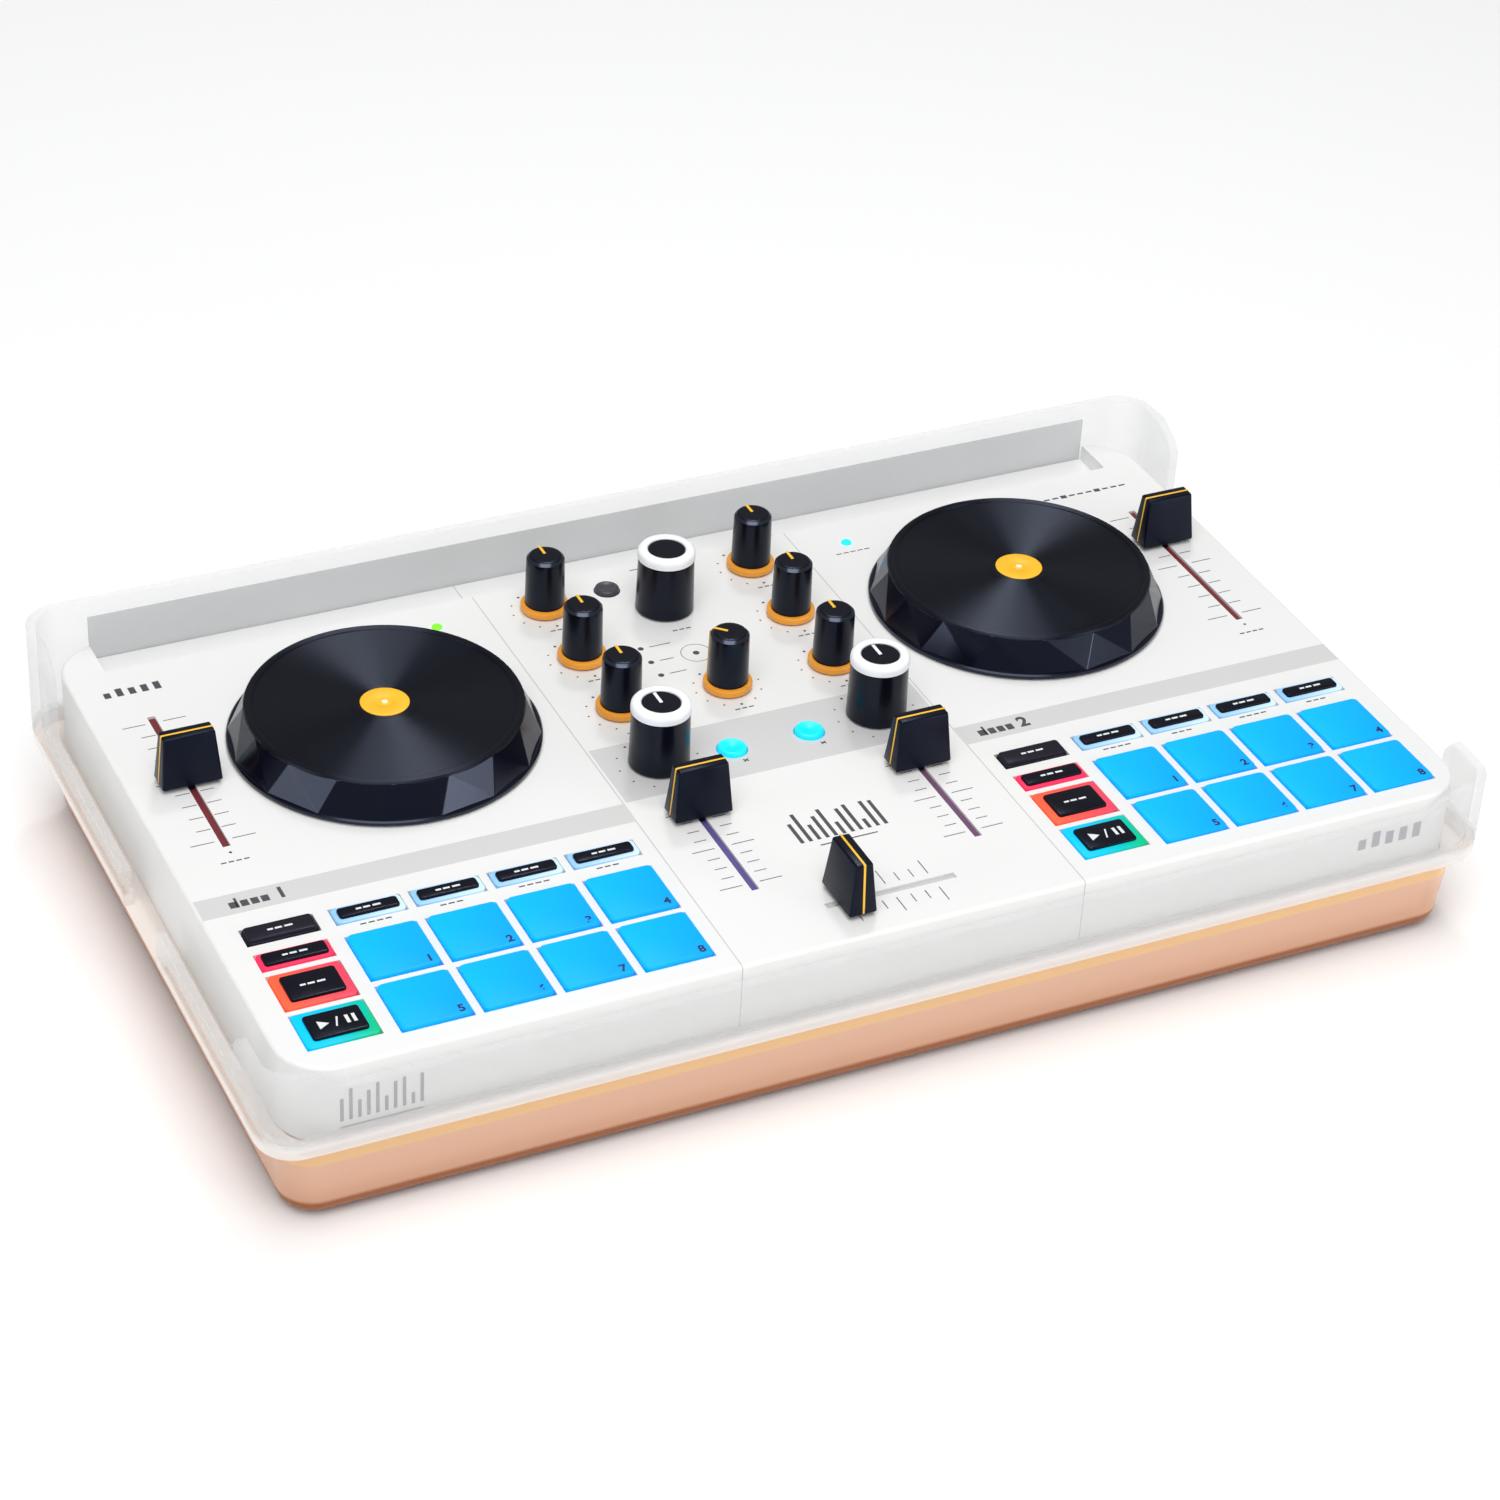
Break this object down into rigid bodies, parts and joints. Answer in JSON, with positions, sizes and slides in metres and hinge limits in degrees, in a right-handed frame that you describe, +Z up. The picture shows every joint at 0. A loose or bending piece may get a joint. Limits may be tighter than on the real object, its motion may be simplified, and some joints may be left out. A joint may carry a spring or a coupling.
{
  "type": "dj controller",
  "caption": "Compact dj controller with jog wheels, knobs, faders and lit pads, resting in a translucent tray with a groove for a phone.",
  "frame": {"origin": "centre of the rectangle round the whole object, on the surface the tray's feet stand on", "axes": "+X to the player's right, +Y away from the player, +Z up"},
  "size_m": [0.359, 0.208, 0.0694],
  "materials": {
    "tray_amber": "clear amber tinted polycarbonate, polished",
    "foot_rubber": "soft matt rubber",
    "casing_white": "fine spark texture",
    "casing_orange": "fine spark texture",
    "board_green": "solder resist",
    "rail_steel": "zinc plated",
    "cell_foil": "satin pouch foil",
    "screw_steel": "black zinc",
    "control_black": "satin",
    "collar_orange": "satin",
    "ring_white": "gloss",
    "marker_yellow": "satin print",
    "pad_blue": "lit translucent silicone",
    "button_black": "satin gloss",
    "light_cyan": "lit translucent plastic",
    "light_red": "lit translucent plastic",
    "light_green": "lit translucent plastic"
  },
  "bodies": {
    "stand": {"stand_tray": "tray_amber", "tray_feet": "foot_rubber"},
    "controller": {"top_shell": "casing_white", "bottom_shell": "casing_orange", "main_board": "board_green", "fader_rails": "rail_steel", "battery_cell": "cell_foil", "case_screws": "screw_steel"},
    "jog_wheel_left": {"jog_wheel_left": "control_black"},
    "jog_wheel_right": {"jog_wheel_right": "control_black"},
    "centre_knob": {"centre_knob": "control_black"},
    "low_knob_left": {"low_knob_left": "control_black"},
    "mid_knob_left": {"mid_knob_left": "control_black"},
    "high_knob_left": {"high_knob_left": "control_black"},
    "filter_knob_left": {"filter_knob_left": "control_black"},
    "low_knob_right": {"low_knob_right": "control_black"},
    "mid_knob_right": {"mid_knob_right": "control_black"},
    "high_knob_right": {"high_knob_right": "control_black"},
    "filter_knob_right": {"filter_knob_right": "control_black"},
    "browse_encoder": {"browse_encoder": "control_black"},
    "pitch_fader_left": {"pitch_fader_left": "control_black"},
    "pitch_fader_right": {"pitch_fader_right": "control_black"},
    "volume_fader_left": {"volume_fader_left": "control_black"},
    "volume_fader_right": {"volume_fader_right": "control_black"},
    "crossfader": {"crossfader": "control_black"},
    "pad_left_1": {"pad_left_1": "pad_blue"},
    "pad_left_2": {"pad_left_2": "pad_blue"},
    "pad_left_3": {"pad_left_3": "pad_blue"},
    "pad_left_4": {"pad_left_4": "pad_blue"},
    "pad_left_5": {"pad_left_5": "pad_blue"},
    "pad_left_6": {"pad_left_6": "pad_blue"},
    "pad_left_7": {"pad_left_7": "pad_blue"},
    "pad_left_8": {"pad_left_8": "pad_blue"},
    "mode_button_left_1": {"mode_button_left_1": "light_cyan"},
    "mode_button_left_2": {"mode_button_left_2": "light_cyan"},
    "mode_button_left_3": {"mode_button_left_3": "light_cyan"},
    "mode_button_left_4": {"mode_button_left_4": "light_cyan"},
    "shift_button_left": {"shift_button_left": "button_black"},
    "sync_button_left": {"sync_button_left": "light_red"},
    "cue_button_left": {"cue_button_left": "light_red"},
    "play_button_left": {"play_button_left": "light_green"},
    "pad_right_1": {"pad_right_1": "pad_blue"},
    "pad_right_2": {"pad_right_2": "pad_blue"},
    "pad_right_3": {"pad_right_3": "pad_blue"},
    "pad_right_4": {"pad_right_4": "pad_blue"},
    "pad_right_5": {"pad_right_5": "pad_blue"},
    "pad_right_6": {"pad_right_6": "pad_blue"},
    "pad_right_7": {"pad_right_7": "pad_blue"},
    "pad_right_8": {"pad_right_8": "pad_blue"},
    "mode_button_right_1": {"mode_button_right_1": "light_cyan"},
    "mode_button_right_2": {"mode_button_right_2": "light_cyan"},
    "mode_button_right_3": {"mode_button_right_3": "light_cyan"},
    "mode_button_right_4": {"mode_button_right_4": "light_cyan"},
    "shift_button_right": {"shift_button_right": "button_black"},
    "sync_button_right": {"sync_button_right": "light_red"},
    "cue_button_right": {"cue_button_right": "light_red"},
    "play_button_right": {"play_button_right": "light_green"},
    "view_button": {"view_button": "button_black"},
    "load_button_left": {"load_button_left": "light_cyan"},
    "load_button_right": {"load_button_right": "light_cyan"}
  },
  "joints": [
    {"name": "lift_off", "type": "slide", "parent": "stand", "child": "controller", "axis": [0, 0, 1], "range_m": [0, 0.08]},
    {"name": "jog_wheel_left_spin", "type": "hinge", "parent": "controller", "child": "jog_wheel_left", "pos_m": [-0.0983, 0.029, 0.055], "axis": [0, 0, 1], "continuous": true},
    {"name": "jog_wheel_right_spin", "type": "hinge", "parent": "controller", "child": "jog_wheel_right", "pos_m": [0.0983, 0.029, 0.055], "axis": [0, 0, 1], "continuous": true},
    {"name": "centre_knob_turn", "type": "hinge", "parent": "controller", "child": "centre_knob", "pos_m": [0, 0.0175, 0.058], "axis": [0, 0, 1], "range_deg": [-197, 103]},
    {"name": "low_knob_left_turn", "type": "hinge", "parent": "controller", "child": "low_knob_left", "pos_m": [-0.0328, 0.0175, 0.058], "axis": [0, 0, 1], "range_deg": [-150, 150]},
    {"name": "mid_knob_left_turn", "type": "hinge", "parent": "controller", "child": "mid_knob_left", "pos_m": [-0.0328, 0.0451, 0.058], "axis": [0, 0, 1], "range_deg": [-150, 150]},
    {"name": "high_knob_left_turn", "type": "hinge", "parent": "controller", "child": "high_knob_left", "pos_m": [-0.0328, 0.0727, 0.058], "axis": [0, 0, 1], "range_deg": [-150, 150]},
    {"name": "filter_knob_left_turn", "type": "hinge", "parent": "controller", "child": "filter_knob_left", "pos_m": [-0.0332, -0.0098, 0.058], "axis": [0, 0, 1], "range_deg": [-150, 150]},
    {"name": "low_knob_right_turn", "type": "hinge", "parent": "controller", "child": "low_knob_right", "pos_m": [0.0328, 0.0175, 0.058], "axis": [0, 0, 1], "range_deg": [-150, 150]},
    {"name": "mid_knob_right_turn", "type": "hinge", "parent": "controller", "child": "mid_knob_right", "pos_m": [0.0328, 0.0451, 0.058], "axis": [0, 0, 1], "range_deg": [-150, 150]},
    {"name": "high_knob_right_turn", "type": "hinge", "parent": "controller", "child": "high_knob_right", "pos_m": [0.0328, 0.0727, 0.058], "axis": [0, 0, 1], "range_deg": [-150, 150]},
    {"name": "filter_knob_right_turn", "type": "hinge", "parent": "controller", "child": "filter_knob_right", "pos_m": [0.0332, -0.0098, 0.058], "axis": [0, 0, 1], "range_deg": [-150, 150]},
    {"name": "browse_encoder_turn", "type": "hinge", "parent": "controller", "child": "browse_encoder", "pos_m": [0, 0.0613, 0.058], "axis": [0, 0, 1], "continuous": true},
    {"name": "pitch_fader_left_slide", "type": "slide", "parent": "controller", "child": "pitch_fader_left", "axis": [0, 1, 0], "range_m": [-0.02865, 0.02985]},
    {"name": "pitch_fader_right_slide", "type": "slide", "parent": "controller", "child": "pitch_fader_right", "axis": [0, 1, 0], "range_m": [-0.04315, 0.01535]},
    {"name": "volume_fader_left_slide", "type": "slide", "parent": "controller", "child": "volume_fader_left", "axis": [0, 1, 0], "range_m": [-0.0336, 0.0014]},
    {"name": "volume_fader_right_slide", "type": "slide", "parent": "controller", "child": "volume_fader_right", "axis": [0, 1, 0], "range_m": [-0.0336, 0.0014]},
    {"name": "crossfader_slide", "type": "slide", "parent": "controller", "child": "crossfader", "axis": [1, 0, 0], "range_m": [-0.0003, 0.0249]},
    {"name": "pad_left_1_press", "type": "slide", "parent": "controller", "child": "pad_left_1", "axis": [0, 0, -1], "range_m": [0, 0.0008], "stiffness_N_per_m": 1500},
    {"name": "pad_left_2_press", "type": "slide", "parent": "controller", "child": "pad_left_2", "axis": [0, 0, -1], "range_m": [0, 0.0008], "stiffness_N_per_m": 1500},
    {"name": "pad_left_3_press", "type": "slide", "parent": "controller", "child": "pad_left_3", "axis": [0, 0, -1], "range_m": [0, 0.0008], "stiffness_N_per_m": 1500},
    {"name": "pad_left_4_press", "type": "slide", "parent": "controller", "child": "pad_left_4", "axis": [0, 0, -1], "range_m": [0, 0.0008], "stiffness_N_per_m": 1500},
    {"name": "pad_left_5_press", "type": "slide", "parent": "controller", "child": "pad_left_5", "axis": [0, 0, -1], "range_m": [0, 0.0008], "stiffness_N_per_m": 1500},
    {"name": "pad_left_6_press", "type": "slide", "parent": "controller", "child": "pad_left_6", "axis": [0, 0, -1], "range_m": [0, 0.0008], "stiffness_N_per_m": 1500},
    {"name": "pad_left_7_press", "type": "slide", "parent": "controller", "child": "pad_left_7", "axis": [0, 0, -1], "range_m": [0, 0.0008], "stiffness_N_per_m": 1500},
    {"name": "pad_left_8_press", "type": "slide", "parent": "controller", "child": "pad_left_8", "axis": [0, 0, -1], "range_m": [0, 0.0008], "stiffness_N_per_m": 1500},
    {"name": "mode_button_left_1_press", "type": "slide", "parent": "controller", "child": "mode_button_left_1", "axis": [0, 0, -1], "range_m": [0, 0.0008], "stiffness_N_per_m": 1500},
    {"name": "mode_button_left_2_press", "type": "slide", "parent": "controller", "child": "mode_button_left_2", "axis": [0, 0, -1], "range_m": [0, 0.0008], "stiffness_N_per_m": 1500},
    {"name": "mode_button_left_3_press", "type": "slide", "parent": "controller", "child": "mode_button_left_3", "axis": [0, 0, -1], "range_m": [0, 0.0008], "stiffness_N_per_m": 1500},
    {"name": "mode_button_left_4_press", "type": "slide", "parent": "controller", "child": "mode_button_left_4", "axis": [0, 0, -1], "range_m": [0, 0.0008], "stiffness_N_per_m": 1500},
    {"name": "shift_button_left_press", "type": "slide", "parent": "controller", "child": "shift_button_left", "axis": [0, 0, -1], "range_m": [0, 0.0008], "stiffness_N_per_m": 1500},
    {"name": "sync_button_left_press", "type": "slide", "parent": "controller", "child": "sync_button_left", "axis": [0, 0, -1], "range_m": [0, 0.0008], "stiffness_N_per_m": 1500},
    {"name": "cue_button_left_press", "type": "slide", "parent": "controller", "child": "cue_button_left", "axis": [0, 0, -1], "range_m": [0, 0.0008], "stiffness_N_per_m": 1500},
    {"name": "play_button_left_press", "type": "slide", "parent": "controller", "child": "play_button_left", "axis": [0, 0, -1], "range_m": [0, 0.0008], "stiffness_N_per_m": 1500},
    {"name": "pad_right_1_press", "type": "slide", "parent": "controller", "child": "pad_right_1", "axis": [0, 0, -1], "range_m": [0, 0.0008], "stiffness_N_per_m": 1500},
    {"name": "pad_right_2_press", "type": "slide", "parent": "controller", "child": "pad_right_2", "axis": [0, 0, -1], "range_m": [0, 0.0008], "stiffness_N_per_m": 1500},
    {"name": "pad_right_3_press", "type": "slide", "parent": "controller", "child": "pad_right_3", "axis": [0, 0, -1], "range_m": [0, 0.0008], "stiffness_N_per_m": 1500},
    {"name": "pad_right_4_press", "type": "slide", "parent": "controller", "child": "pad_right_4", "axis": [0, 0, -1], "range_m": [0, 0.0008], "stiffness_N_per_m": 1500},
    {"name": "pad_right_5_press", "type": "slide", "parent": "controller", "child": "pad_right_5", "axis": [0, 0, -1], "range_m": [0, 0.0008], "stiffness_N_per_m": 1500},
    {"name": "pad_right_6_press", "type": "slide", "parent": "controller", "child": "pad_right_6", "axis": [0, 0, -1], "range_m": [0, 0.0008], "stiffness_N_per_m": 1500},
    {"name": "pad_right_7_press", "type": "slide", "parent": "controller", "child": "pad_right_7", "axis": [0, 0, -1], "range_m": [0, 0.0008], "stiffness_N_per_m": 1500},
    {"name": "pad_right_8_press", "type": "slide", "parent": "controller", "child": "pad_right_8", "axis": [0, 0, -1], "range_m": [0, 0.0008], "stiffness_N_per_m": 1500},
    {"name": "mode_button_right_1_press", "type": "slide", "parent": "controller", "child": "mode_button_right_1", "axis": [0, 0, -1], "range_m": [0, 0.0008], "stiffness_N_per_m": 1500},
    {"name": "mode_button_right_2_press", "type": "slide", "parent": "controller", "child": "mode_button_right_2", "axis": [0, 0, -1], "range_m": [0, 0.0008], "stiffness_N_per_m": 1500},
    {"name": "mode_button_right_3_press", "type": "slide", "parent": "controller", "child": "mode_button_right_3", "axis": [0, 0, -1], "range_m": [0, 0.0008], "stiffness_N_per_m": 1500},
    {"name": "mode_button_right_4_press", "type": "slide", "parent": "controller", "child": "mode_button_right_4", "axis": [0, 0, -1], "range_m": [0, 0.0008], "stiffness_N_per_m": 1500},
    {"name": "shift_button_right_press", "type": "slide", "parent": "controller", "child": "shift_button_right", "axis": [0, 0, -1], "range_m": [0, 0.0008], "stiffness_N_per_m": 1500},
    {"name": "sync_button_right_press", "type": "slide", "parent": "controller", "child": "sync_button_right", "axis": [0, 0, -1], "range_m": [0, 0.0008], "stiffness_N_per_m": 1500},
    {"name": "cue_button_right_press", "type": "slide", "parent": "controller", "child": "cue_button_right", "axis": [0, 0, -1], "range_m": [0, 0.0008], "stiffness_N_per_m": 1500},
    {"name": "play_button_right_press", "type": "slide", "parent": "controller", "child": "play_button_right", "axis": [0, 0, -1], "range_m": [0, 0.0008], "stiffness_N_per_m": 1500},
    {"name": "view_button_press", "type": "slide", "parent": "controller", "child": "view_button", "axis": [0, 0, -1], "range_m": [0, 0.0008], "stiffness_N_per_m": 1500},
    {"name": "load_button_left_press", "type": "slide", "parent": "controller", "child": "load_button_left", "axis": [0, 0, -1], "range_m": [0, 0.0008], "stiffness_N_per_m": 1500},
    {"name": "load_button_right_press", "type": "slide", "parent": "controller", "child": "load_button_right", "axis": [0, 0, -1], "range_m": [0, 0.0008], "stiffness_N_per_m": 1500}
  ]
}
